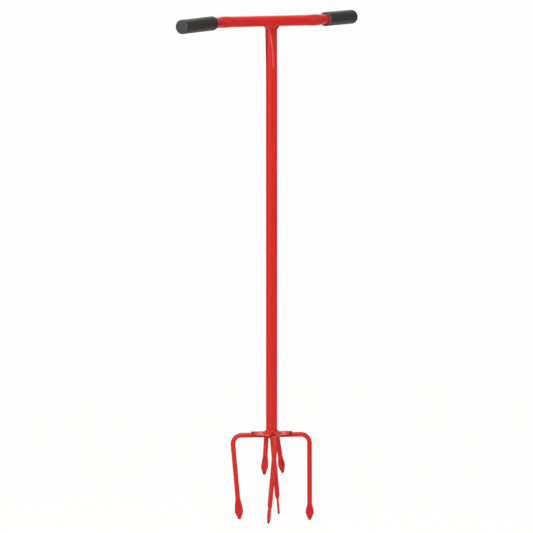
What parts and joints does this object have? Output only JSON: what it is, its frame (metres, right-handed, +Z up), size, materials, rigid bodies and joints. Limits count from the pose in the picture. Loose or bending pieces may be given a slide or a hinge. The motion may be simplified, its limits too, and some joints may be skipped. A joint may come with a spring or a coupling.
{
  "type": "claw cultivator",
  "caption": "Upright garden claw with a bent two-hand bar, a tube shaft and round-bar tines with forged blades, welded under a pressed star plate",
  "frame": {"origin": "Midway between the ends of the two grips, at the level of the long tines' tips, which is the ground it stands on. The shaft's axis stands at x = 7.4 mm, y = -1.0 mm, because the handle is welded off its middle", "axes": "+Z up along the shaft, +X along the right arm within 3 degrees, +Y towards the back arm; the middle of the handle tube lies 14.9 degrees from +X towards +Y"},
  "size_m": [0.3822, 0.3106, 0.9925],
  "materials": {
    "red_coat": "semi-gloss powder coat",
    "black_grip": "soft dipped PVC, satin"
  },
  "bodies": {
    "root": {"handle_tube": "red_coat", "grip_left": "black_grip", "grip_right": "black_grip", "shaft_tube": "red_coat", "handle_weld": "red_coat", "foot_weld": "red_coat", "hub_plate": "red_coat", "tine_right": "red_coat", "tine_back": "red_coat", "tine_left": "red_coat", "tine_front": "red_coat", "short_tine_right": "red_coat", "short_tine_left": "red_coat", "seam_weld_right_a": "red_coat", "seam_weld_right_b": "red_coat", "seam_weld_back_a": "red_coat", "seam_weld_back_b": "red_coat", "seam_weld_left_a": "red_coat", "seam_weld_left_b": "red_coat", "seam_weld_front_a": "red_coat", "seam_weld_front_b": "red_coat"}
  },
  "joints": []
}
